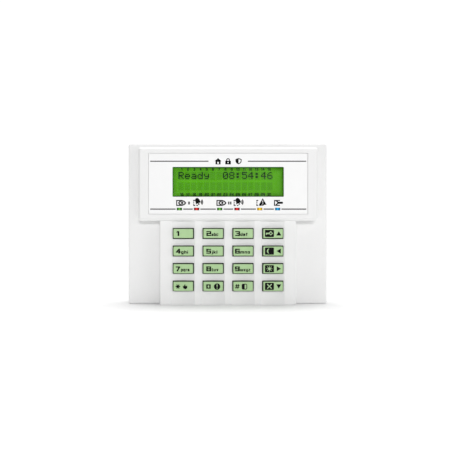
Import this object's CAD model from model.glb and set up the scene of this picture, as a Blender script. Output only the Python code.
import math
import random

import bmesh
import bpy
from mathutils import Matrix, Vector


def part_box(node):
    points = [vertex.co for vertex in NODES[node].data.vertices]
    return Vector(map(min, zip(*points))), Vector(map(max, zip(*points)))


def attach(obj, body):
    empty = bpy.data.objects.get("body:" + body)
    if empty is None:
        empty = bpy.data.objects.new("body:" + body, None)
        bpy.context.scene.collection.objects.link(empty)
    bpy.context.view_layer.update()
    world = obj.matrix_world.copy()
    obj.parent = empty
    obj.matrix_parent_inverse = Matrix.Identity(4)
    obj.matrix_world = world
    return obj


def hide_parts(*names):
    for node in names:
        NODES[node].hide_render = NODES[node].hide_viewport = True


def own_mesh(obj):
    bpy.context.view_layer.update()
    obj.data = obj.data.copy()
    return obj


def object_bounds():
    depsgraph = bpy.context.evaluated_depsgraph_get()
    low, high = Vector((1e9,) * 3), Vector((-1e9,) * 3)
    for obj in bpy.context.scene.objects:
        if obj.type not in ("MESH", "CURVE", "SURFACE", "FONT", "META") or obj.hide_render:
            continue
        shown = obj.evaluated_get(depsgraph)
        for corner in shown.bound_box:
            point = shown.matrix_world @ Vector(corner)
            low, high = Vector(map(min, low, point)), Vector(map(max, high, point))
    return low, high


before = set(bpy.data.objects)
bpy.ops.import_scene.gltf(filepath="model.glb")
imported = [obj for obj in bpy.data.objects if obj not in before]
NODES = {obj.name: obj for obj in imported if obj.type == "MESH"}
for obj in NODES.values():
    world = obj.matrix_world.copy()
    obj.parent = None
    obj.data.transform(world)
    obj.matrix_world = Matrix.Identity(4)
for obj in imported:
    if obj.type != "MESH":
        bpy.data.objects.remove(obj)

cad_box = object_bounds()
MM = 0.001
scene = bpy.context.scene
scene.view_settings.view_transform = "Standard"
scene.view_settings.look = "None"


# ------------------------------------------------------------ node helpers
class Shader:
    """A Principled material whose inputs are fed by a few procedural nodes."""

    def __init__(self, name):
        self.mat = bpy.data.materials.new(name)
        self.mat.use_nodes = True
        self.nt = self.mat.node_tree
        self.nt.nodes.clear()
        self.out = self.nt.nodes.new("ShaderNodeOutputMaterial")
        self.p = self.nt.nodes.new("ShaderNodeBsdfPrincipled")
        self.nt.links.new(self.p.outputs[0], self.out.inputs[0])
        self.co = self.nt.nodes.new("ShaderNodeTexCoord").outputs["Object"]

    def link(self, a, b):
        self.nt.links.new(a, b)

    def put(self, socket, value):
        if isinstance(value, bpy.types.NodeSocket):
            self.link(value, socket)
        elif hasattr(value, "__len__") and len(value) == 3 and socket.type == "RGBA":
            socket.default_value = (*value, 1.0)
        else:
            socket.default_value = value

    def set(self, **kw):
        for k, v in kw.items():
            self.put(self.p.inputs[k.replace("_", " ")], v)
        return self

    def noise(self, scale, detail=2.0, rough=0.5, co=None, distort=0.0):
        n = self.nt.nodes.new("ShaderNodeTexNoise")
        self.link(co or self.co, n.inputs["Vector"])
        n.inputs["Scale"].default_value = scale
        n.inputs["Detail"].default_value = detail
        n.inputs["Roughness"].default_value = rough
        n.inputs["Distortion"].default_value = distort
        return n.outputs["Fac"]

    def voronoi(self, scale, feature="F1", co=None, out="Distance"):
        n = self.nt.nodes.new("ShaderNodeTexVoronoi")
        n.feature = feature
        self.link(co or self.co, n.inputs["Vector"])
        n.inputs["Scale"].default_value = scale
        return n.outputs[out]

    def stretch(self, x, y, z):
        n = self.nt.nodes.new("ShaderNodeMapping")
        self.link(self.co, n.inputs["Vector"])
        n.inputs["Scale"].default_value = (x, y, z)
        return n.outputs[0]

    def axis(self, which):
        n = self.nt.nodes.new("ShaderNodeSeparateXYZ")
        self.link(self.co, n.inputs[0])
        return n.outputs["XYZ".index(which)]

    def math(self, op, a, b=None, c=None, clamp=False):
        n = self.nt.nodes.new("ShaderNodeMath")
        n.operation = op
        n.use_clamp = clamp
        for i, v in enumerate((a, b, c)):
            if v is not None:
                self.put(n.inputs[i], v)
        return n.outputs[0]

    def span(self, value, a, b, lo=0.0, hi=1.0, smooth=False):
        n = self.nt.nodes.new("ShaderNodeMapRange")
        n.interpolation_type = "SMOOTHSTEP" if smooth else "LINEAR"
        self.link(value, n.inputs[0])
        for i, v in zip((1, 2, 3, 4), (a, b, lo, hi)):
            n.inputs[i].default_value = v
        return n.outputs[0]

    def mix(self, fac, a, b):
        n = self.nt.nodes.new("ShaderNodeMix")
        n.data_type = "RGBA"
        self.put(n.inputs[0], fac)
        self.put(n.inputs[6], a)
        self.put(n.inputs[7], b)
        return n.outputs[2]

    def bump(self, height, distance, strength=1.0, normal=None):
        n = self.nt.nodes.new("ShaderNodeBump")
        n.inputs["Strength"].default_value = strength
        n.inputs["Distance"].default_value = distance
        self.link(height, n.inputs["Height"])
        if normal is not None:
            self.link(normal, n.inputs["Normal"])
        return n.outputs[0]

    def soft_edges(self, radius):
        n = self.nt.nodes.new("ShaderNodeBevel")
        n.samples = 4
        n.inputs["Radius"].default_value = radius
        return n.outputs[0]


def lin(r, g, b):
    def f(c):
        c /= 255.0
        return c / 12.92 if c <= 0.04045 else ((c + 0.055) / 1.055) ** 2.4
    return (f(r), f(g), f(b))


# --------------------------------------------------------------- materials
def moulded(name, light, dark, rough, grain=2600.0, depth=5e-6, edge=0.00018):
    s = Shader(name)
    blotch = s.noise(38.0, 3.0, 0.6)
    speck = s.noise(grain * 0.22, 2.0, 0.7)
    tone = s.math("MULTIPLY_ADD", speck, 0.35, s.math("MULTIPLY", blotch, 0.65))
    s.set(Base_Color=s.mix(s.span(tone, 0.30, 0.70), dark, light))
    s.set(Roughness=s.span(s.noise(260.0, 3.0, 0.6), 0.25, 0.75, rough - 0.05, rough + 0.06))
    tex = s.noise(grain, 2.0, 0.55)
    s.set(Normal=s.bump(tex, depth, 1.0, s.soft_edges(edge)))
    return s


M = {}

s = moulded("case_abs", (0.790, 0.790, 0.788), (0.768, 0.768, 0.765), 0.60)
s.p.inputs["Specular IOR Level"].default_value = 0.30
# green cast of the translucent keys on the walls of the sixteen openings
dx, dz = None, None
for col_key, row_key in (("1", "1"), ("2", "4"), ("3", "7"), ("arm", "star")):
    lo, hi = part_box("key_" + col_key)
    d = s.math("ABSOLUTE", s.math("SUBTRACT", s.axis("X"), (lo.x + hi.x) / 2))
    dx = d if dx is None else s.math("MINIMUM", dx, d)
    lo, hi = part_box("key_" + row_key)
    d = s.math("ABSOLUTE", s.math("SUBTRACT", s.axis("Z"), (lo.z + hi.z) / 2))
    dz = d if dz is None else s.math("MINIMUM", dz, d)
inside = s.math("MULTIPLY", s.span(dx, 0.00599, 0.00603, 1.0, 0.0, True), s.span(dz, 0.00309, 0.00313, 1.0, 0.0, True))
for row_key in ("7", "star"):                # the lower two rows catch light on their bottom walls
    lo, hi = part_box("key_" + row_key)
    foot = s.math("ABSOLUTE", s.math("SUBTRACT", s.axis("Z"), (lo.z + hi.z) / 2 - 0.00305))
    inside = s.math("MULTIPLY", inside, s.span(foot, 0.00015, 0.00022, 0.0, 1.0, True))
plain = s.p.inputs["Base Color"].links[0].from_socket
s.set(Base_Color=s.mix(inside, plain, (0.010, 0.045, 0.006)))
M["case"] = s.mat

s = moulded("case_abs_back", (0.775, 0.775, 0.765), (0.74, 0.74, 0.73), 0.52, grain=1500.0, depth=1.2e-5)
M["case_back"] = s.mat

s = Shader("overlay_film")
s.set(Base_Color=s.mix(s.span(s.noise(70.0, 2.0), 0.3, 0.7), (0.826, 0.826, 0.826), (0.844, 0.844, 0.844)))
s.set(Roughness=s.span(s.noise(420.0, 3.0), 0.25, 0.75, 0.44, 0.54))
s.p.inputs["Specular IOR Level"].default_value = 0.30
s.set(Normal=s.bump(s.noise(3400.0, 1.0), 1.6e-6))
M["overlay"] = s.mat

# silicone keys: lighter printed faces, deeper green down in the gap
s = Shader("key_silicone")
face_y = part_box("key_1")[0].y
down = s.span(s.axis("Y"), face_y + 0.00016, face_y + 0.0007, 0.0, 1.0, True)
cloud = s.span(s.noise(190.0, 3.0, 0.6), 0.3, 0.7)
face = s.mix(cloud, (0.352, 0.535, 0.262), (0.382, 0.568, 0.285))
s.set(Base_Color=s.mix(down, face, (0.022, 0.062, 0.010)))
s.set(Roughness=s.span(s.noise(900.0, 2.0), 0.3, 0.7, 0.46, 0.60))
s.set(Normal=s.bump(s.noise(2800.0, 2.0, 0.6), 6e-6))
s.p.inputs["Subsurface Weight"].default_value = 0.12
s.p.inputs["Subsurface Radius"].default_value = (0.0006, 0.0010, 0.0004)
s.p.inputs["Subsurface Scale"].default_value = 1.0
s.p.inputs["Sheen Weight"].default_value = 0.08
M["key"] = s.mat

s = Shader("mat_silicone")
s.set(Base_Color=s.mix(s.noise(160.0, 3.0), (0.30, 0.50, 0.22), (0.36, 0.56, 0.27)))
s.set(Roughness=s.span(s.noise(800.0), 0.3, 0.7, 0.5, 0.65))
s.set(Normal=s.bump(s.noise(2200.0), 8e-6))
M["mat"] = s.mat

s = Shader("carbon_pill")
s.set(Base_Color=s.mix(s.noise(3000.0, 2.0), (0.010, 0.010, 0.011), (0.030, 0.030, 0.032)))
s.set(Roughness=s.span(s.noise(1600.0), 0.3, 0.7, 0.55, 0.75))
s.set(Normal=s.bump(s.noise(3500.0), 8e-6))
M["carbon"] = s.mat

# liquid crystal cell, lit from behind; edges fall off under the frame
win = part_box("display_overlay")
glass_lo, glass_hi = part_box("lcd_glass")
wc = (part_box("lcd_lens")[0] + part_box("lcd_lens")[1]) / 2
VIEW_W, VIEW_H = 0.0630, 0.0169


def lcd_shader(name, centre, edge, glow, depth=0.90):
    s = Shader(name)
    ax = s.math("SUBTRACT", VIEW_W / 2, s.math("ABSOLUTE", s.math("SUBTRACT", s.axis("X"), wc.x + 0.0001)))
    az = s.math("SUBTRACT", VIEW_H / 2, s.math("ABSOLUTE", s.math("SUBTRACT", s.axis("Z"), wc.z + 0.0004)))
    near = s.math("MAXIMUM", s.math("MINIMUM", ax, az), 0.0)
    fall = s.math("MULTIPLY", s.math("EXPONENT", s.math("MULTIPLY", near, -1050.0)), depth, clamp=True)
    cloud = s.noise(55.0, 2.0)
    col = s.mix(s.span(cloud, 0.3, 0.7), centre, tuple(v * 0.94 for v in centre))
    col = s.mix(fall, col, edge)
    s.set(Base_Color=col, Emission_Color=col)
    s.p.inputs["Emission Strength"].default_value = glow
    s.set(Roughness=s.span(s.noise(700.0), 0.3, 0.7, 0.24, 0.34))
    s.set(Normal=s.bump(s.noise(4200.0, 1.0), 1.5e-6))
    s.p.inputs["Specular IOR Level"].default_value = 0.08
    return s.mat


LCD_ON = lin(84, 167, 10)
M["lcd"] = lcd_shader("lcd_cell", LCD_ON, lin(16, 62, 6), 0.27)
M["lcd_cellbox"] = lcd_shader("lcd_cell_unlit", tuple(v * 0.75 for v in LCD_ON), lin(14, 58, 5), 0.27)
M["lcd_ink"] = lcd_shader("lcd_segment", (0.003, 0.016, 0.003), (0.001, 0.008, 0.001), 0.05)

s = Shader("lens_clear")
s.set(Base_Color=s.mix(s.noise(120.0, 2.0), (0.965, 0.995, 0.965), (0.98, 1.0, 0.98)))
s.p.inputs["Transmission Weight"].default_value = 1.0
s.p.inputs["IOR"].default_value = 1.16
s.p.inputs["Roughness"].default_value = 0.0
M["lens"] = s.mat

s = Shader("lcd_frame_black")
s.set(Base_Color=s.mix(s.noise(300.0, 3.0), (0.012, 0.012, 0.013), (0.028, 0.028, 0.030)))
s.set(Roughness=s.span(s.noise(600.0), 0.3, 0.7, 0.34, 0.5))
s.p.inputs["Metallic"].default_value = 0.4
s.set(Normal=s.bump(s.noise(2000.0), 4e-6, 1.0, s.soft_edges(0.0001)))
M["frame"] = s.mat

s = Shader("light_guide")
s.set(Base_Color=s.mix(s.noise(90.0), lin(120, 200, 60), lin(150, 220, 90)))
s.set(Roughness=s.span(s.noise(500.0), 0.3, 0.7, 0.3, 0.45))
s.p.inputs["Emission Strength"].default_value = 0.35
s.set(Emission_Color=(0.25, 0.62, 0.08))
M["guide"] = s.mat


def indicator_mat(name, tint, bright, glow, centres):
    """Tinted light pipe: the chip lamp behind shows as a paler middle."""
    s = Shader(name)
    near = None
    for x in centres:
        d = s.math("ABSOLUTE", s.math("SUBTRACT", s.axis("X"), x))
        near = d if near is None else s.math("MINIMUM", near, d)
    f = s.span(near, 0.00010, 0.00080, 1.0, 0.0, True)
    grain = s.span(s.noise(2400.0, 2.0), 0.3, 0.7, 0.0, 0.12)
    f = s.math("ADD", f, grain, clamp=True)
    col = s.mix(f, tint, bright)
    s.set(Base_Color=col, Emission_Color=col)
    s.p.inputs["Emission Strength"].default_value = glow
    s.set(Roughness=s.span(s.noise(900.0), 0.3, 0.7, 0.18, 0.3))
    s.set(Normal=s.bump(s.noise(1500.0), 3e-6))
    s.p.inputs["Specular IOR Level"].default_value = 0.10
    return s.mat


def two_centres(node):
    o = NODES[node]
    xs = sorted(v.co.x for v in o.data.vertices)
    lo, hi = xs[0], xs[-1]
    half = 0.0021
    return sorted({round(lo + half, 5), round(hi - half, 5)})


M["ind_green"] = indicator_mat("pipe_green", lin(18, 70, 8), lin(112, 186, 72), 0.04, two_centres("indicator_green"))
M["ind_red"] = indicator_mat("pipe_red", lin(96, 0, 4), lin(226, 44, 46), 0.04, two_centres("indicator_red"))
M["ind_yellow"] = indicator_mat("pipe_yellow", lin(168, 132, 6), lin(246, 202, 24), 0.04, two_centres("indicator_yellow"))
M["ind_blue"] = indicator_mat("pipe_blue", lin(0, 92, 134), lin(14, 164, 222), 0.04, two_centres("indicator_blue"))


def board_mat(name, hue):
    s = Shader(name)
    cloud = s.span(s.noise(120.0, 3.0), 0.3, 0.7)
    weave = s.nt.nodes.new("ShaderNodeTexChecker")
    s.link(s.co, weave.inputs["Vector"])
    weave.inputs["Scale"].default_value = 3200.0
    base = s.mix(cloud, hue, tuple(v * 0.72 for v in hue))
    s.set(Base_Color=s.mix(s.math("MULTIPLY", weave.outputs["Fac"], 0.18), base, tuple(v * 1.5 for v in hue)))
    s.set(Roughness=s.span(s.noise(700.0), 0.3, 0.7, 0.22, 0.36))
    s.set(Normal=s.bump(s.noise(1800.0, 2.0), 5e-6))
    s.p.inputs["Coat Weight"].default_value = 0.25
    return s.mat


M["board"] = board_mat("solder_resist", (0.010, 0.120, 0.040))


def metal(name, a, b, rough, streak=(60.0, 60.0, 4200.0), depth=3e-6):
    s = Shader(name)
    co = s.stretch(*streak)
    brushed = s.noise(1.0, 3.0, 0.6, co=co)
    s.set(Base_Color=s.mix(s.span(s.noise(400.0, 3.0), 0.3, 0.7), a, b))
    s.p.inputs["Metallic"].default_value = 1.0
    s.set(Roughness=s.span(brushed, 0.3, 0.7, rough - 0.06, rough + 0.1))
    s.set(Normal=s.bump(brushed, depth, 1.0, s.soft_edges(0.0001)))
    return s.mat


M["steel"] = metal("zinc_steel", (0.60, 0.60, 0.60), (0.50, 0.50, 0.51), 0.30)
M["gold"] = metal("gold_pin", (0.86, 0.62, 0.24), (0.74, 0.50, 0.18), 0.26)
M["solder"] = metal("solder_tin", (0.70, 0.71, 0.72), (0.55, 0.56, 0.57), 0.24, (300.0, 300.0, 300.0))
M["can"] = metal("capacitor_can", (0.78, 0.78, 0.79), (0.66, 0.66, 0.68), 0.34)


def hard_plastic(name, a, b, rough, grain=2000.0, depth=5e-6):
    s = Shader(name)
    s.set(Base_Color=s.mix(s.span(s.noise(500.0, 3.0, 0.6), 0.3, 0.7), a, b))
    s.set(Roughness=s.span(s.noise(900.0), 0.3, 0.7, rough - 0.06, rough + 0.06))
    s.set(Normal=s.bump(s.noise(grain, 2.0), depth, 1.0, s.soft_edges(0.00012)))
    return s.mat


M["black"] = hard_plastic("black_epoxy", (0.014, 0.014, 0.015), (0.026, 0.026, 0.028), 0.46)
M["terminal"] = hard_plastic("terminal_green", (0.018, 0.170, 0.050), (0.026, 0.215, 0.068), 0.40)
M["nylon"] = hard_plastic("white_acetal", (0.74, 0.74, 0.70), (0.80, 0.80, 0.77), 0.36)
M["chip_lamp"] = hard_plastic("chip_lamp_body", (0.74, 0.72, 0.56), (0.82, 0.80, 0.68), 0.30)
M["ceramic"] = hard_plastic("chip_part_tan", (0.30, 0.21, 0.13), (0.36, 0.26, 0.17), 0.35)

s = Shader("printed_ink")
s.set(Base_Color=s.mix(s.noise(2600.0, 3.0), (0.003, 0.003, 0.003), (0.009, 0.009, 0.010)))
s.set(Roughness=s.span(s.noise(1500.0), 0.3, 0.7, 0.60, 0.75))
s.p.inputs["Specular IOR Level"].default_value = 0.04
s.set(Normal=s.bump(s.noise(4000.0), 2e-6))
M["ink"] = s.mat

s = Shader("printed_rule")
s.set(Base_Color=s.mix(s.noise(2600.0, 3.0), lin(38, 37, 39), lin(50, 49, 51)))
s.set(Roughness=s.span(s.noise(1500.0), 0.3, 0.7, 0.60, 0.75))
s.p.inputs["Specular IOR Level"].default_value = 0.12
s.set(Normal=s.bump(s.noise(4000.0), 2e-6))
M["rule"] = s.mat

s = Shader("board_print")
s.set(Base_Color=s.mix(s.noise(2600.0, 3.0), (0.66, 0.66, 0.63), (0.80, 0.80, 0.77)))
s.set(Roughness=s.span(s.noise(1500.0), 0.3, 0.7, 0.5, 0.6))
M["silk"] = s.mat

s = Shader("board_track")
s.set(Base_Color=s.mix(s.noise(300.0, 3.0), (0.018, 0.190, 0.065), (0.026, 0.235, 0.085)))
s.set(Roughness=s.span(s.noise(900.0), 0.3, 0.7, 0.2, 0.32))
s.p.inputs["Coat Weight"].default_value = 0.25
M["track"] = s.mat

KEY_NODES = [n for n in NODES if n.startswith("key_") and n != "key_backlight_leds"]
SLOTS = {
    "front_cover": "case", "rear_cover": "case_back", "display_overlay": "overlay",
    "lcd_lens": "lens", "lcd_bezel": "frame", "lcd_glass": "lcd", "lcd_backlight": "guide",
    "lcd_board": "board", "main_board": "board", "lcd_header_pins": "gold",
    "lcd_screws": "steel", "board_screws": "steel", "terminal_screws": "steel",
    "tamper_spring": "steel", "keypad_mat": "mat", "indicator_green": "ind_green",
    "indicator_red": "ind_red", "indicator_yellow": "ind_yellow", "indicator_blue": "ind_blue",
    "status_leds": "chip_lamp", "key_backlight_leds": "chip_lamp", "terminal_block": "terminal",
    "controller_chip": "black", "capacitors": "can", "jumper_header": "black",
    "buzzer": "black", "tamper_switch": "black", "tamper_plunger": "nylon",
}
for n in NODES:
    if n in KEY_NODES:
        SLOTS[n] = "key"
    elif n.startswith("contact_"):
        SLOTS[n] = "carbon"
for n, o in NODES.items():
    for slot in o.material_slots:
        slot.material = M[SLOTS[n]]


# --------------------------------------------------------- printed shapes
def placed(depth):
    """Drawing plane (x right, y up, in mm) to the row frame, printed at this depth."""
    return Matrix(((MM, 0, 0, 0), (0, 0, -MM, -depth * MM), (0, MM, 0, 0), (0, 0, 0, 1)))


def circle(x, y, r, n=28, a0=0.0):
    return [(x + r * math.cos(a0 + 2 * math.pi * i / n), y + r * math.sin(a0 + 2 * math.pi * i / n)) for i in range(n)]


def rect(x0, y0, x1, y1):
    return [(x0, y0), (x1, y0), (x1, y1), (x0, y1)]


def round_rect(x0, y0, x1, y1, r, n=5):
    pts = []
    for cx, cy, a in ((x1 - r, y1 - r, 0), (x0 + r, y1 - r, 90), (x0 + r, y0 + r, 180), (x1 - r, y0 + r, 270)):
        for i in range(n + 1):
            t = math.radians(a + 90 * i / n)
            pts.append((cx + r * math.cos(t), cy + r * math.sin(t)))
    return pts


def arc_band(x, y, r, w, a0, a1, n=14):
    out = []
    for i in range(n + 1):
        t = math.radians(a0 + (a1 - a0) * i / n)
        out.append((x + (r + w / 2) * math.cos(t), y + (r + w / 2) * math.sin(t)))
    for i in range(n, -1, -1):
        t = math.radians(a0 + (a1 - a0) * i / n)
        out.append((x + (r - w / 2) * math.cos(t), y + (r - w / 2) * math.sin(t)))
    return out


def bar(x0, y0, x1, y1, w):
    dx, dy = x1 - x0, y1 - y0
    l = math.hypot(dx, dy)
    nx, ny = -dy / l * w / 2, dx / l * w / 2
    return [(x0 + nx, y0 + ny), (x1 + nx, y1 + ny), (x1 - nx, y1 - ny), (x0 - nx, y0 - ny)]


def shift(loops, dx, dy, k=1.0):
    return [[(x * k + dx, y * k + dy) for x, y in lp] for lp in loops]


def flat_shape(loops, thick):
    """Closed slab from outline loops; loops inside others cut holes."""
    cu = bpy.data.curves.new("tmp", "CURVE")
    cu.dimensions = "2D"
    cu.fill_mode = "BOTH"
    cu.extrude = thick / 2
    for lp in loops:
        sp = cu.splines.new("POLY")
        sp.points.add(len(lp) - 1)
        for p, (x, y) in zip(sp.points, lp):
            p.co = (x, y, 0, 1)
        sp.use_cyclic_u = True
    return curve_mesh(cu)


def flat_text(text, x, y, size, thick, bold=0.0, align="LEFT", wide=1.0):
    cu = bpy.data.curves.new("tmp", "FONT")
    cu.body = text
    cu.size = size
    cu.offset = bold
    cu.extrude = thick / 2
    cu.align_x = align
    cu.align_y = "BOTTOM_BASELINE"
    cu.resolution_u = 4
    me = curve_mesh(cu)
    me.transform(Matrix.Translation((x, y, 0)) @ Matrix.Diagonal((wide, 1, 1, 1)))
    return me


def curve_mesh(cu):
    ob = bpy.data.objects.new("tmp", cu)
    scene.collection.objects.link(ob)
    bpy.context.view_layer.update()
    me = bpy.data.meshes.new_from_object(ob.evaluated_get(bpy.context.evaluated_depsgraph_get()))
    bpy.data.objects.remove(ob)
    bpy.data.curves.remove(cu)
    return me


def slab_boxes(rects, thick):
    """Many small closed boxes in the drawing plane."""
    bm = bmesh.new()
    for x0, y0, x1, y1 in rects:
        vs = [bm.verts.new((x, y, z)) for z in (-thick / 2, thick / 2)
              for x, y in ((x0, y0), (x1, y0), (x1, y1), (x0, y1))]
        for f in ((3, 2, 1, 0), (4, 5, 6, 7), (0, 1, 5, 4), (1, 2, 6, 5), (2, 3, 7, 6), (3, 0, 4, 7)):
            bm.faces.new([vs[i] for i in f])
    me = bpy.data.meshes.new("tmp")
    bm.to_mesh(me)
    bm.free()
    return me


def piece(name, meshes, matrix, body, mat):
    bm = bmesh.new()
    for me in meshes:
        bm.from_mesh(me)
        bpy.data.meshes.remove(me)
    bmesh.ops.remove_doubles(bm, verts=bm.verts, dist=1e-5)
    bmesh.ops.dissolve_degenerate(bm, edges=bm.edges, dist=1e-6)
    bmesh.ops.recalc_face_normals(bm, faces=bm.faces)
    me = bpy.data.meshes.new(name)
    bm.to_mesh(me)
    bm.free()
    me.transform(matrix)
    if matrix.determinant() < 0:
        me.flip_normals()
    ob = bpy.data.objects.new(name, me)
    scene.collection.objects.link(ob)
    me.materials.append(M[mat])
    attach(ob, body)
    return ob


# -------------------------------------------------- print on the overlay
over_lo, over_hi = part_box("display_overlay")
OVER_D = -over_lo.y / MM                     # depth of the overlay's front
X0, X1 = over_lo.x / MM, over_hi.x / MM
TOP = over_hi.z / MM
led_lo, led_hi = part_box("indicator_blue")
LED_Y = (led_lo.z + led_hi.z) / 2 / MM


def led_centres():
    out = []
    for n in ("indicator_green", "indicator_red", "indicator_yellow", "indicator_blue"):
        out += [x / MM for x in two_centres(n)]
    return sorted(out)


LEDS = led_centres()
RULE_W = 0.55
rule = [rect(X0 + 0.75, TOP - 4.35 - RULE_W / 2, -11.0, TOP - 4.35 + RULE_W / 2),
        rect(11.0, TOP - 4.35 - RULE_W / 2, X1 - 0.75, TOP - 4.35 + RULE_W / 2)]
edges = [X0 + 0.75]
for x in LEDS:
    edges += [x - 2.15, x + 2.15]
edges.append(X1 - 0.75)
for a, b in zip(edges[0::2], edges[1::2]):
    rule.append(rect(a, LED_Y - RULE_W / 2 - 0.08, b, LED_Y + RULE_W / 2))
INK_T = 0.024
INK_D = OVER_D + 0.006
piece("overlay_rules", [slab_boxes([(r[0][0], r[0][1], r[2][0], r[2][1]) for r in rule], INK_T)],
      placed(INK_D), "front", "rule")


def frame_open(w, h, t, dashed=False):
    """Square outline, open on the right."""
    if not dashed:
        return [rect(0, 0, t, h), rect(t, 0, w, t), rect(t, h - t, w, h)]
    return [rect(0, 0, t, h * 0.30), rect(t, 0, w * 0.34, t), rect(0, h * 0.42, t, h * 0.62),
            rect(0, h * 0.74, t, h), rect(t, h - t, w * 0.34, h), rect(w * 0.52, 0, w * 0.80, t)]


def icon_guarded():
    """Zone box with a watching eye: zone set."""
    sh = [[lp] for lp in frame_open(3.5, 3.3, 0.60)]
    cx, cy, half, up, t = 3.32, 1.65, 2.25, 1.50, 0.70
    r = (half * half + up * up) / (2 * up)

    def lens(rr):
        hh = math.sqrt(rr * rr - (r - up) ** 2)
        a = math.degrees(math.asin(hh / rr))
        out = []
        for i in range(17):
            q = math.radians(90 + a - 2 * a * i / 16)
            out.append((cx + rr * math.cos(q), cy + up - r + rr * math.sin(q)))
        for i in range(1, 16):
            q = math.radians(-90 + a - 2 * a * i / 16)
            out.append((cx + rr * math.cos(q), cy - up + r + rr * math.sin(q)))
        return out
    sh.append([lens(r), lens(r - t)])
    sh.append([circle(cx - 0.02, cy, 0.66)])
    return sh


def icon_bell():
    """Ringing bell over a broken box: alarm."""
    sh = [[lp] for lp in frame_open(3.4, 3.35, 0.58, True)]
    bell = []
    t = math.radians(22)
    for x, y in ((-1.70, 0.0), (-1.32, 0.60), (-1.25, 1.75), (-0.98, 2.55), (-0.42, 3.05), (0.0, 3.12),
                 (0.42, 3.05), (0.98, 2.55), (1.25, 1.75), (1.32, 0.60), (1.70, 0.0)):
        x, y = x * math.cos(t) - y * math.sin(t), x * math.sin(t) + y * math.cos(t)
        bell.append((x + 2.95, y + 1.50))
    sh.append([bell])
    sh.append([circle(3.15, 1.02, 0.46, 16)])
    for r, half in ((1.85, 30), (2.45, 36)):
        sh.append([arc_band(2.85, 2.1, r, 0.50, -half, half, 8)])
    return sh


def icon_warning():
    """Triangle over a broken box: trouble."""
    sh = [[lp] for lp in frame_open(3.2, 3.3, 0.60, True)]
    sh.append([[(1.50, 0.60), (5.70, 0.60), (3.60, 4.30)],
               [(3.38, 3.00), (3.84, 3.00), (3.74, 1.85), (3.48, 1.85)],
               rect(3.42, 1.05, 3.80, 1.45)])
    sh.append([arc_band(3.3, 1.35, 1.15, 0.42, 215, 325, 8)])
    return sh


def icon_service():
    """Open-ended wrench at a box: service."""
    sh = [[lp] for lp in frame_open(3.3, 3.3, 0.58)]
    sh.append([[(0.90, 2.60), (1.42, 2.98), (2.55, 2.32), (4.75, 2.32), (5.15, 1.74), (4.75, 1.16), (2.55, 1.16),
                (1.42, 0.50), (0.90, 0.88), (1.68, 1.40), (1.85, 1.74), (1.68, 2.08)]])
    return sh


ICON_Y = LED_Y + 1.75
icons = []


def add_icon(shapes, x, y, k=1.0):
    for loops in shapes:
        icons.append(flat_shape(shift(loops, x, y, k), INK_T))


add_icon(icon_guarded(), LEDS[0] - 1.8, ICON_Y)
add_icon([[rect(0, 0, 0.86, 1.6)]], LEDS[0] + 4.95, ICON_Y + 0.8)
add_icon(icon_bell(), LEDS[1] - 1.9, ICON_Y)
add_icon(icon_guarded(), LEDS[2] - 1.8, ICON_Y)
add_icon([[rect(0, 0, 0.74, 1.6)], [rect(1.12, 0, 1.86, 1.6)]], LEDS[2] + 4.72, ICON_Y + 0.8)
add_icon(icon_bell(), LEDS[3] - 1.9, ICON_Y)
add_icon(icon_warning(), LEDS[4] - 1.95, ICON_Y)
add_icon(icon_service(), LEDS[5] - 2.05, ICON_Y)

# plain pictograms between the two upper rules: house, padlock, shield
by = TOP - 4.35 - 1.75
house = [[(0, 1.75), (1.95, 3.5), (3.9, 1.75), (3.35, 1.75), (3.35, 0), (0.55, 0), (0.55, 1.75)], rect(1.5, 0.35, 2.4, 1.35)]
lock = [[(0, 0), (3.1, 0), (3.1, 2.0), (2.6, 2.0)]
        + [(1.55 + 1.05 * math.cos(math.radians(t)), 2.35 + 1.05 * math.sin(math.radians(t))) for t in range(0, 181, 15)]
        + [(0.5, 2.0), (0, 2.0)],
        [(1.0, 2.0), (2.1, 2.0)] + [(1.55 + 0.55 * math.cos(math.radians(t)), 2.35 + 0.55 * math.sin(math.radians(t))) for t in range(0, 181, 20)],
        circle(1.55, 1.0, 0.36, 14)]
shield = [[(1.7, 3.5), (0.0, 2.95), (0.0, 1.7), (0.45, 0.75), (1.7, 0.0), (2.95, 0.75), (3.4, 1.7), (3.4, 2.95)],
          [(1.7, 2.95), (2.9, 2.55), (2.9, 1.75), (2.5, 1.05), (1.7, 0.55)]]
for loops, x in ((house, -7.6), (lock, -1.6), (shield, 4.1)):
    icons.append(flat_shape(shift(loops, x, by), INK_T))
piece("overlay_icons", icons, placed(INK_D), "front", "ink")

# ------------------------------------------------- squared digits in strokes
def bars(w, h, t, mid=None):
    """Named strokes of a wide squared character, w by h, stroke t."""
    m = h / 2 if mid is None else mid
    return {"T": rect(0, h - t, w, h), "B": rect(0, 0, w, t), "M": rect(0, m - t / 2, w, m + t / 2),
            "a": rect(0, m - t / 2, t, h), "b": rect(w - t, m - t / 2, w, h),
            "c": rect(0, 0, t, m + t / 2), "d": rect(w - t, 0, w, m + t / 2)}


DIGITS = {"0": "TBabcd", "2": "TbMcB", "3": "TbMdB", "5": "TaMdB", "6": "TacMdB", "8": "TBMabcd", "9": "TabMdB"}


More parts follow.
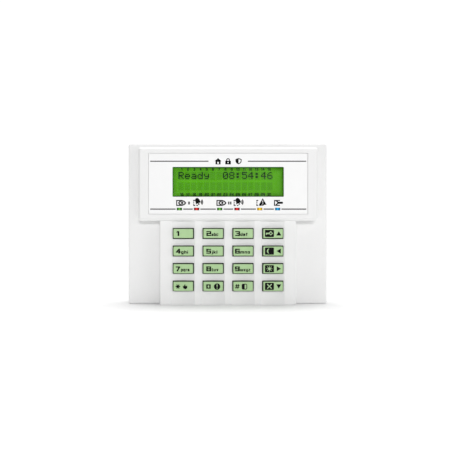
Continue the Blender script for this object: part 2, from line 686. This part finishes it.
def digit(n, h=2.72, w=2.70, t=0.82):
    if n == "1":
        return [rect(0.62, 0, 1.52, h), [(0.62, h), (0.62, h - 0.70), (0.0, h - 0.85), (0.0, h - 0.30)]]
    if n == "4":
        return [rect(w - 1.25, 0, w - 0.38, h), rect(0, 0.58, w, 1.20), bar(0.30, 0.80, w - 0.95, h - 0.22, 0.66)]
    if n == "7":
        return [rect(0, h - 0.62, w * 0.92, h), bar(w * 0.92 - 0.40, h - 0.3, 0.78, 0.02, 0.80)]
    k = bars(w, h, 0.60)
    v = bars(w, h, t)
    out = []
    for c in DIGITS[n]:
        r = (k if c in "TMB" else v)[c]
        if c == "M" and n == "3":
            r = rect(w * 0.28, r[0][1], w, r[2][1])
        out.append(r)
    return out


# -------------------------------------------------------------- the display
FONT = {
    "R": ("11110", "10001", "10001", "11110", "10100", "10010", "10001", "00000"),
    "e": ("00000", "00000", "01110", "10001", "11111", "10000", "01110", "00000"),
    "a": ("00000", "00000", "01110", "00001", "01111", "10001", "01111", "00000"),
    "d": ("00001", "00001", "01101", "10011", "10001", "10001", "01111", "00000"),
    "y": ("00000", "00000", "10001", "10001", "01111", "00001", "01110", "00000"),
    "0": ("01110", "10001", "10011", "10101", "11001", "10001", "01110", "00000"),
    "8": ("01110", "10001", "10001", "01110", "10001", "10001", "01110", "00000"),
    ":": ("00000", "01100", "01100", "00000", "01100", "01100", "00000", "00000"),
    "5": ("11111", "10000", "11110", "00001", "00001", "10001", "01110", "00000"),
    "4": ("00010", "00110", "01010", "10010", "11111", "00010", "00010", "00000"),
    "6": ("00110", "01000", "10000", "11110", "10001", "10001", "01110", "00000"),
    " ": ("00000",) * 8,
}
TEXT = ("Ready  08:54:46", " " * 15)
PITCH_X, DOT_PX, DOT_PY = 3.585, 0.604, 0.569
CELL_X = wc.x / MM - 28.0
ROW_TOP = (wc.z / MM + 5.92, wc.z / MM + 0.05)
GLASS_D = -glass_lo.y / MM
on, off = [], []
for r, line in enumerate(TEXT):
    for c, ch in enumerate(line):
        for j, bits in enumerate(FONT[ch]):
            for i, bit in enumerate(bits):
                x = CELL_X + c * PITCH_X + i * DOT_PX
                y = ROW_TOP[r] - j * DOT_PY
                if bit == "1":
                    on.append((x - 0.03, y - DOT_PY - 0.01, x + DOT_PX + 0.05, y + 0.03))
                else:
                    off.append((x, y - DOT_PY * 0.96, x + DOT_PX * 0.96, y))
piece("lcd_dots_on", [slab_boxes(on, 0.02)], placed(GLASS_D + 0.012), "front", "lcd_ink")
piece("lcd_dots_off", [slab_boxes(off, 0.012)], placed(GLASS_D + 0.008), "front", "lcd_cellbox")


def zone_number(n, x, y, kx, ky):
    """Small printed zone number, middle of its foot at x, y."""
    widths = [1.52 if ch == "1" else 2.70 for ch in n]
    at = x - (sum(widths) * kx + 0.20 * (len(n) - 1)) / 2
    out = []
    for ch, w in zip(n, widths):
        out += [flat_shape([[(at + px * kx, y + py * ky) for px, py in lp]], 0.02) for lp in digit(ch)]
        at += w * kx + 0.20
    return out


marks = []
for i in range(15):
    x = wc.x / MM - 26.1 + i * 3.525
    marks += zone_number(str(i + 1), x, wc.z / MM + 6.66, 0.40, 0.58)
    marks += zone_number(str(i + 16), x, wc.z / MM - 7.62, 0.40, 0.62)
piece("lcd_zone_numbers", marks, placed(GLASS_D + 0.014), "front", "lcd_ink")

# -------------------------------------------------------------- key legends
LEG_T = 0.022


def key_centre(name):
    lo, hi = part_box(name)
    return (lo.x + hi.x) / 2 / MM, (lo.z + hi.z) / 2 / MM, -lo.y / MM


def tri(points):
    return [[points]]


def legend(key, build):
    x, y, d = key_centre("key_" + key)
    parts = build()
    meshes = []
    for p in parts:
        meshes.append(flat_shape(shift(p[1], x, y), LEG_T))
    piece("legend_" + key, meshes, placed(d + 0.005), "button_" + key, "ink")


LOW = {"a": "TbdBcM", "b": "TdbBca^", "c": "TacB", "d": "TacBdb*", "e": "TabMcB", "g": "TacBbdg", "h": "Tbdca^",
       "n": "Tacbd", "o": "TBabcd", "p": "TBabcdp", "q": "TBabcdq", "s": "TaMdB", "u": "acBbd", "y": "acBbdg"}


def letter(ch):
    """Small squared lower-case letter: (shapes, width)."""
    w, h, t, up, dn = 1.15, 1.40, 0.42, 0.42, 0.42
    if ch in LOW:
        k = bars(w, h, t)
        out = [k[c] for c in LOW[ch] if c in k]
        if "^" in LOW[ch]:
            out.append(rect(0, 0, t, h + up))
        if "*" in LOW[ch]:
            out.append(rect(w - t, 0, w, h + up))
        if "p" in LOW[ch] and ch == "p":
            out.append(rect(0, -dn, t, h))
        if ch == "q":
            out.append(rect(w - t, -dn, w, h))
        if ch in "gy":
            out += [rect(w - t, -dn, w, h), rect(w * 0.15, -dn - 0.05, w, -dn + t * 0.7)]
        return out, w
    if ch in "il":
        return ([rect(0, 0, t, h + (up if ch == "l" else -0.12))]
                + ([rect(0, h + 0.1, t, h + 0.4)] if ch == "i" else [])), t
    if ch == "j":
        return [rect(0.28, -dn, 0.28 + t, h - 0.12), rect(-0.05, -dn, 0.4, -dn + 0.26), rect(0.28, h + 0.1, 0.28 + t, h + 0.4)], 0.62
    if ch == "k":
        return [rect(0, 0, t, h + up), bar(t * 0.6, 0.66, 1.0, h - 0.1, t), bar(0.45, 0.75, 1.05, 0.1, t)], 1.1
    if ch == "f":
        return [rect(0.2, 0, 0.2 + t, h + up), rect(0.2, h + up - 0.3, 0.85, h + up), rect(0, h - 0.32, 0.8, h)], 0.85
    if ch == "t":
        return [rect(0.2, 0, 0.2 + t, h + up), rect(0.2, 0, 0.85, 0.3), rect(0, h - 0.32, 0.8, h)], 0.85
    if ch == "r":
        return [rect(0, 0, t, h), rect(0, h - t, 0.8, h)], 0.8
    if ch in "mw":
        ww = 1.8
        out = [rect(0, 0, t, h), rect(ww / 2 - t / 2, 0, ww / 2 + t / 2, h), rect(ww - t, 0, ww, h)]
        out.append(rect(0, h - t, ww, h) if ch == "m" else rect(0, 0, ww, t))
        return out, ww
    if ch == "v":
        return [bar(t / 2, h, 0.58, 0.05, t), bar(1.16 - t / 2, h, 0.58, 0.05, t)], 1.16
    if ch == "x":
        return [bar(0.12, h - 0.05, 1.03, 0.05, t), bar(0.12, 0.05, 1.03, h - 0.05, t)], 1.15
    if ch == "z":
        return [rect(0, h - 0.28, 1.15, h), rect(0, 0, 1.15, 0.28), bar(0.15, 0.15, 1.0, h - 0.15, t)], 1.15


LEFT, BASE = -4.25, -1.42


def number(n, letters="", x0=LEFT, reach=0.0):
    def build():
        parts = [("shape", shift([lp], x0, BASE)) for lp in digit(n)]
        if letters:
            x, shapes = 0.0, []
            for ch in letters:
                sh, w = letter(ch)
                shapes += [[(px + x, py) for px, py in lp] for lp in sh]
                x += w + 0.26
            x -= 0.26
            start = x0 + (2.9 if n != "4" else 2.95)
            k = (reach - start) / x
            parts += [("shape", [[(px * k + start, py * 0.96 + BASE) for px, py in lp]]) for lp in shapes]
        return parts
    return build


SQ = round_rect(-4.60, -2.00, 0.45, 2.00, 0.45)


SX = -2.075                                  # middle of the printed square


def at_square(loops):
    return [[(x + SX, y) for x, y in lp] for lp in loops]


def arrow(a):
    t = math.radians(a)
    pts = [(1.25, 0.0), (-1.15, 1.38), (-1.15, -1.38)]
    return [[(3.15 + x * math.cos(t) - y * math.sin(t), x * math.sin(t) + y * math.cos(t)) for x, y in pts]]


def square_key():
    bow_o = [(0.75, 1.35), (1.95, 0.10), (0.75, -1.15), (-0.25, -0.16), (-0.62, -0.16), (-0.62, -0.55),
             (-1.02, -0.55), (-1.02, -0.16), (-1.42, -0.16), (-1.42, -0.72), (-1.95, -0.72), (-1.95, 0.38), (-0.25, 0.38)]
    bow_i = [(0.75, 0.72), (1.36, 0.10), (0.75, -0.52), (0.14, 0.10)]
    return [("shape", [SQ] + at_square([bow_o, bow_i])), ("shape", arrow(90))]


def square_moon():
    pts = []
    for i in range(25):
        t = math.radians(95 + 170 * i / 24)
        pts.append((0.05 + 1.45 * math.cos(t), 1.45 * math.sin(t)))
    for i in range(24, -1, -1):
        t = math.radians(135 + 90 * i / 24)
        pts.append((1.36 + 2.03 * math.cos(t), 2.03 * math.sin(t)))
    return [("shape", [SQ] + at_square([pts])), ("shape", arrow(180))]


def square_sun():
    loops = [circle(0.0, 0.0, 0.82, 24)]
    for i in range(8):
        a = math.radians(45 * i)
        loops.append(bar(1.05 * math.cos(a), 1.05 * math.sin(a), 1.62 * math.cos(a), 1.62 * math.sin(a), 0.36))
    return [("shape", [SQ] + at_square(loops)), ("shape", arrow(0))]


def square_cross():
    e, w = 1.42, 0.36
    pts = [(0, w), (e - w, e), (e, e - w), (w, 0), (e, w - e), (e - w, -e),
           (0, -w), (w - e, -e), (-e, w - e), (-w, 0), (-e, e - w), (w - e, e)]
    return [("shape", [SQ] + at_square([pts])), ("shape", arrow(-90))]


def star():
    parts = [("shape", [bar(-2.95 - 1.28 * math.cos(math.radians(a)), -0.1 - 1.28 * math.sin(math.radians(a)),
                            -2.95 + 1.28 * math.cos(math.radians(a)), -0.1 + 1.28 * math.sin(math.radians(a)), 0.60)])
             for a in (0, 58, 122)]
    flame = [(1.20, -1.62), (0.25, -1.15), (-0.22, -0.35), (-0.05, 0.45), (0.35, 0.02), (0.62, 0.70), (1.15, 1.45),
             (1.22, 0.55), (1.60, 0.10), (2.05, 0.50), (2.38, -0.25), (2.10, -1.10)]
    return parts + [("shape", [flame])]


def zero():
    return [("shape", shift([lp], -3.85, -1.28)) for lp in digit("0", 2.42, 2.5, 0.84)] + [
            ("shape", [circle(2.2, -0.1, 1.78, 36), [(1.92, 1.08), (2.48, 1.08), (2.38, -0.38), (2.02, -0.38)],
                       circle(2.2, -0.98, 0.30, 12)])]


def hash_door():
    parts = [("shape", [bar(-4.35, 0.42, -2.05, 0.42, 0.46)]), ("shape", [bar(-4.5, -0.48, -2.2, -0.48, 0.46)]),
             ("shape", [bar(-4.05, -1.3, -3.55, 1.2, 0.50)]), ("shape", [bar(-3.05, -1.3, -2.55, 1.2, 0.50)])]
    body = round_rect(-0.80, -1.75, 2.25, 1.50, 0.85, 6)
    slot = round_rect(0.85, -1.32, 1.80, 1.07, 0.38, 4)
    return parts + [("shape", [body, slot])]


legend("1", number("1", x0=-3.72))
for k, letters, x0, reach in (("2", "abc", -3.80, 2.85), ("3", "def", -4.45, 2.45), ("4", "ghi", -4.1, 2.7),
                              ("5", "jkl", -3.85, 2.35), ("6", "mno", -4.55, 3.85), ("7", "pqrs", -4.15, 3.5),
                              ("8", "tuv", -3.85, 2.95), ("9", "wxyz", -4.6, 3.95)):
    legend(k, number(k, letters, x0, reach))
legend("arm", square_key)
legend("night", square_moon)
legend("day", square_sun)
legend("clear", square_cross)
legend("star", star)
legend("0", zero)
legend("hash", hash_door)

# --------------------------- tamper spring, closing up as its pin is pushed in
lo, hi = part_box("tamper_spring")
coil = piece("tamper_coil", [NODES["tamper_spring"].data.copy()], Matrix.Identity(4), "front", "steel")
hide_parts("tamper_spring")
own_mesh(coil)

# ------------------------------------ wiring side of the board, seen when open
board_lo, board_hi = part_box("main_board")
BACK_D = -board_hi.y / MM


def placed_back(depth):
    """Drawing plane to the row frame, thickness growing towards the wall."""
    return Matrix(((MM, 0, 0, 0), (0, 0, MM, -depth * MM), (0, MM, 0, 0), (0, 0, 0, 1)))


def lathe(x, y, rings, n=14):
    """Closed turned shape standing on the drawing plane."""
    bm = bmesh.new()
    loops = [[bm.verts.new((x + r * math.cos(2 * math.pi * i / n), y + r * math.sin(2 * math.pi * i / n), h))
              for i in range(n)] for r, h in rings]
    for a, b in zip(loops, loops[1:]):
        for i in range(n):
            bm.faces.new((a[i], a[(i + 1) % n], b[(i + 1) % n], b[i]))
    bm.faces.new(list(reversed(loops[0])))
    bm.faces.new(loops[-1])
    me = bpy.data.meshes.new("tmp")
    bm.to_mesh(me)
    bm.free()
    return me


def path(points, w=0.28):
    segs = []
    for (x0, y0), (x1, y1) in zip(points, points[1:]):
        segs.append(flat_shape([bar(x0, y0, x1, y1, w)], 0.03))
    for x, y in points[1:-1]:
        segs.append(flat_shape([circle(x, y, w / 2, 10)], 0.03))
    return segs


pins_lo, pins_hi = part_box("lcd_header_pins")
PIN_Z = (pins_lo.z + pins_hi.z) / 2 / MM
PIN_X = [-19.05 + 2.54 * i for i in range(16)]
chip_lo, chip_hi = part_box("controller_chip")
CX, CZ = (chip_lo.x + chip_hi.x) / 2 / MM, (chip_lo.z + chip_hi.z) / 2 / MM
term_lo, term_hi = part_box("terminal_block")
TERM_Z = term_hi.z / MM
tracks, vias = [], []
for i in range(10):
    zi = CZ + 4.0 - 0.8 * i
    tracks += path([(PIN_X[i], PIN_Z - 0.6), (PIN_X[i], zi + 0.8), (PIN_X[i] - 0.8, zi), (CX + 6.0, zi)])
for j in range(8):
    xj, zj, end = CX - 3.2 + 0.8 * j, 7.0 + 0.9 * j, -8.0 + 2.2 * j
    tracks += path([(xj, CZ - 6.0), (xj, zj + 0.7), (xj + 0.7, zj), (end - 0.7, zj), (end, zj - 0.7), (end, TERM_Z + 1.2)])
    vias.append((end, TERM_Z + 1.2))
for k in range(7):
    x = -13.5 + 1.25 * k
    tracks += path([(x, -10.2 - 0.6 * k), (x, -38.0 + 0.9 * k), (x + 2.0, -40.0 + 0.9 * k)])
    vias += [(x, -10.2 - 0.6 * k), (x + 2.0, -40.0 + 0.9 * k)]
for k in range(5):
    z = -37.5 + 1.1 * k
    tracks += path([(4.5, z), (17.0, z), (18.5, z + 1.5), (18.5, -18.0 + k * 0.9), (31.0, -18.0 + k * 0.9)])
    vias += [(4.5, z), (31.0, -18.0 + k * 0.9)]
for k in range(6):
    x = PIN_X[10 + k]
    tracks += path([(x, PIN_Z - 0.6), (x, 33.0 - 0.9 * k), (x + 2.2, 30.8 - 0.9 * k), (x + 2.2, 15.0 + 0.9 * k)])
    vias.append((x + 2.2, 15.0 + 0.9 * k))
tracks += path([(27.0, 22.4), (27.0, 14.0), (40.0, 14.0), (40.0, 30.0)], 1.1)
tracks += path([(34.0, 22.4), (34.0, 17.0), (37.0, 17.0), (37.0, 31.0)], 0.9)
tracks += path([(-42.0, 12.0), (-42.0, 30.0), (-39.0, 33.0), (-24.0, 33.0)], 0.6)
piece("board_tracks", tracks, placed_back(BACK_D - 0.002), "front", "track")

joints = [lathe(x, PIN_Z, ((0.95, -0.02), (0.80, 0.06), (0.50, 0.28), (0.36, 0.62), (0.33, 0.66))) for x in PIN_X]
joints += [lathe(x, y, ((0.42, -0.02), (0.40, 0.04), (0.24, 0.06), (0.16, 0.05))) for x, y in vias]
buzz_lo, buzz_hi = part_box("buzzer")
BX, BZ = (buzz_lo.x + buzz_hi.x) / 2 / MM, (buzz_lo.z + buzz_hi.z) / 2 / MM
for x, z in ((BX - 3.8, BZ + 7.4), (BX + 3.8, BZ + 7.4), (-6.0, -14.5), (8.5, -14.5), (13.0, -30.0)):
    joints.append(lathe(x, z, ((0.9, -0.02), (0.78, 0.08), (0.45, 0.34), (0.30, 0.50), (0.12, 0.56))))
rings = []
for x, z in ((-33.2, -41.2), (33.2, -41.2), (-43.5, 8.0), (43.5, 8.0), (-43.5, 36.5), (43.5, 36.5)):
    rings.append(flat_shape([circle(x, z, 2.45, 32), circle(x, z, 2.0, 32)], 0.03))
piece("board_solder", joints + rings, placed_back(BACK_D - 0.002), "front", "solder")

SMD = [(-16.5, 14.5, 0), (-16.5, 12.6, 0), (-40.5, 16.5, 1), (-38.6, 16.5, 1), (-24.2, 14.2, 0), (-19.5, 35.0, 0),
       (3.5, 20.0, 1), (5.4, 20.0, 1), (7.3, 20.0, 1), (9.2, 20.0, 1), (15.0, 12.0, 0), (15.0, 10.2, 0), (20.5, 18.0, 0),
       (22.0, 33.0, 1), (30.5, 33.5, 0), (34.5, 33.5, 0), (41.5, 22.0, 1), (-32.0, -6.0, 1), (-30.0, -6.0, 1), (-28.0, -6.0, 1),
       (-12.0, -9.0, 0), (12.5, -13.5, 1), (14.6, -13.5, 1), (16.7, -13.5, 1), (24.0, -8.0, 0), (24.0, -10.0, 0),
       (29.0, -9.0, 1), (7.5, -22.0, 0), (7.5, -24.2, 0), (12.5, -24.2, 0), (30.0, -37.5, 0), (22.5, -38.5, 0)]


def block(x, y, w, h, z0, z1, c=0.06):
    """Box with its top edges broken, standing on the drawing plane."""
    bm = bmesh.new()
    rings_ = []
    for z, k in ((z0, 0.0), (z1 - c, 0.0), (z1, c)):
        rings_.append([bm.verts.new((x + sx * (w / 2 - k), y + sy * (h / 2 - k), z)) for sx, sy in ((-1, -1), (1, -1), (1, 1), (-1, 1))])
    for a, b in zip(rings_, rings_[1:]):
        for i in range(4):
            bm.faces.new((a[i], a[(i + 1) % 4], b[(i + 1) % 4], b[i]))
    bm.faces.new(list(reversed(rings_[0])))
    bm.faces.new(rings_[-1])
    me = bpy.data.meshes.new("tmp")
    bm.to_mesh(me)
    bm.free()
    return me


res, cer, ends = [], [], []
for i, (x, z, up) in enumerate(SMD):
    w, h = (0.85, 1.1) if up else (1.1, 0.85)
    tall = 0.45 if i % 3 else 0.72
    (cer if i % 3 == 0 else res).append(block(x, z, w, h, -0.02, tall))
    for sgn in (-1, 1):
        ex, ez = (x, z + sgn * 0.72) if up else (x + sgn * 0.72, z)
        ew, eh = (0.92, 0.36) if up else (0.36, 0.92)
        ends.append(block(ex, ez, ew, eh, -0.02, tall + 0.03, 0.05))
# small regulator, crystal and driver packages
for x, z, w, h, t in ((20.0, 26.5, 3.2, 1.7, 1.1), (6.5, 13.0, 5.0, 4.0, 1.5), (27.0, -1.5, 4.4, 3.9, 1.4)):
    res.append(block(x, z, w, h, 0.1, t, 0.15))
    n = max(2, int(w // 1.27))
    for k in range(n):
        for sgn in (-1, 1):
            lx = x + (k - (n - 1) / 2) * 1.2
            ends.append(block(lx, z + sgn * (h / 2 + 0.42), 0.42, 0.95, -0.02, 0.22, 0.04))
piece("board_resistors", res, placed_back(BACK_D), "front", "black")
piece("board_ceramics", cer, placed_back(BACK_D), "front", "ceramic")
piece("board_part_ends", ends, placed_back(BACK_D), "front", "solder")
can = [lathe(-38.5, 24.0 - 6.0 + 10.5, ((1.9, -0.02), (1.9, 2.4), (1.6, 2.7), (0.0001, 2.7)), 24)]
piece("crystal_can", can, placed_back(BACK_D), "front", "can")

silk = []


def outline(x0, y0, x1, y1, w=0.16):
    silk.append(flat_shape([rect(x0 - w, y0 - w, x1 + w, y1 + w), rect(x0, y0, x1, y1)], 0.02))


outline(term_lo.x / MM - 0.5, term_lo.z / MM - 0.5, term_hi.x / MM + 0.5, TERM_Z + 0.5)
silk.append(flat_shape([circle(BX, BZ, 6.75, 48), circle(BX, BZ, 6.55, 48)], 0.02))
cap_lo, cap_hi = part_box("capacitors")
outline(cap_lo.x / MM - 0.5, cap_lo.z / MM - 0.5, cap_hi.x / MM + 0.5, cap_hi.z / MM + 0.5)
tam_lo, tam_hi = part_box("tamper_switch")
outline(tam_lo.x / MM - 0.5, tam_lo.z / MM - 0.5, tam_hi.x / MM + 0.5, tam_hi.z / MM + 0.5)
jmp_lo, jmp_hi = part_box("jumper_header")
outline(jmp_lo.x / MM - 0.5, jmp_lo.z / MM - 0.5, jmp_hi.x / MM + 0.5, jmp_hi.z / MM + 0.5)
outline(PIN_X[0] - 1.5, PIN_Z - 1.4, PIN_X[-1] + 1.5, PIN_Z + 1.4)
for sx in (-1, 1):
    for sz in (-1, 1):
        silk.append(flat_shape([bar(CX + sx * 6.6, CZ + sz * 6.6, CX + sx * 5.4, CZ + sz * 6.6, 0.18)], 0.02))
        silk.append(flat_shape([bar(CX + sx * 6.6, CZ + sz * 6.6, CX + sx * 6.6, CZ + sz * 5.4, 0.18)], 0.02))
silk.append(flat_shape([circle(CX - 6.9, CZ + 6.9, 0.35, 14)], 0.02))
for x, z, up in SMD[::2]:
    a, b = (0.75, 1.25) if up else (1.25, 0.75)
    outline(x - a, z - b, x + a, z + b, 0.1)
piece("board_silk", silk, placed_back(BACK_D - 0.004), "front", "silk")

# ejector pin marks on the inside of the rear cover
FLOOR_D = 2.2
marks = [lathe(x, z, ((2.2, -0.03), (2.2, 0.02), (2.05, 0.035), (0.001, 0.035)), 28)
         for x, z in ((-36.0, -38.0), (0.0, -38.0), (36.0, -38.0), (-46.5, 10.0), (46.5, 10.0), (-12.0, -6.0), (12.0, -6.0), (0.0, 37.0))]
piece("rear_pin_marks", marks, placed(FLOOR_D), "rear", "case_back")

# ------------------------------------------------------- floor and lights
FLOOR_Z = cad_box[0].z
bm = bmesh.new()
bmesh.ops.create_grid(bm, x_segments=8, y_segments=8, size=12.0)
me = bpy.data.meshes.new("floor")
bm.to_mesh(me)
bm.free()
floor = bpy.data.objects.new("floor", me)
floor.location.z = FLOOR_Z
scene.collection.objects.link(floor)
s = Shader("floor_white")
s.set(Base_Color=s.mix(s.noise(30.0, 2.0), (0.835, 0.835, 0.835), (0.850, 0.850, 0.850)))
s.p.inputs["Roughness"].default_value = 0.9
s.p.inputs["Specular IOR Level"].default_value = 0.1
me.materials.append(s.mat)

AMBIENT = 0.365
world = bpy.data.worlds.new("studio")
scene.world = world
world.use_nodes = True
nt = world.node_tree
nt.nodes.clear()
wo = nt.nodes.new("ShaderNodeOutputWorld")
bg_a = nt.nodes.new("ShaderNodeBackground")
bg_b = nt.nodes.new("ShaderNodeBackground")
mixw = nt.nodes.new("ShaderNodeMixShader")
lp = nt.nodes.new("ShaderNodeLightPath")
bg_a.inputs["Color"].default_value = (1, 1, 1, 1)
bg_a.inputs["Strength"].default_value = AMBIENT
bg_b.inputs["Color"].default_value = (1, 1, 1, 1)
bg_b.inputs["Strength"].default_value = 1.05
nt.links.new(lp.outputs["Is Camera Ray"], mixw.inputs[0])
nt.links.new(bg_a.outputs[0], mixw.inputs[1])
nt.links.new(bg_b.outputs[0], mixw.inputs[2])
nt.links.new(mixw.outputs[0], wo.inputs[0])


def aim(ob, target):
    ob.rotation_euler = (Vector(target) - ob.location).to_track_quat("-Z", "Y").to_euler()


def area(name, loc, target, size, power):
    li = bpy.data.lights.new(name, "AREA")
    li.shape = "DISK"
    li.size = size
    li.energy = power
    ob = bpy.data.objects.new(name, li)
    ob.location = loc
    aim(ob, target)
    scene.collection.objects.link(ob)
    return ob


def sun(name, frm, angle, strength):
    li = bpy.data.lights.new(name, "SUN")
    li.angle = math.radians(angle)
    li.energy = strength
    ob = bpy.data.objects.new(name, li)
    ob.location = frm
    aim(ob, (0, 0, 0))
    scene.collection.objects.link(ob)
    return ob


sun("top_light", (0.02, 0.13, 1.0), 36.0, 2.62)
sun("key_light", (0.10, -1.0, 0.26), 9.0, 1.06)
sun("side_light", (1.0, -0.58, 0.20), 30.0, 0.345)

# ------------------------------------------------------------------- camera
cam = bpy.data.objects.new("camera", bpy.data.cameras.new("camera"))
scene.collection.objects.link(cam)
cam.location = (-0.0100, -0.314, -0.00825)
cam.rotation_euler = (math.radians(90), 0, 0)
cam.data.sensor_width = 36.0
cam.data.lens = 40.97
cam.data.shift_x = 0.0409
cam.data.shift_y = 0.0197
cam.data.clip_start = 0.01
cam.data.clip_end = 60.0
scene.camera = cam
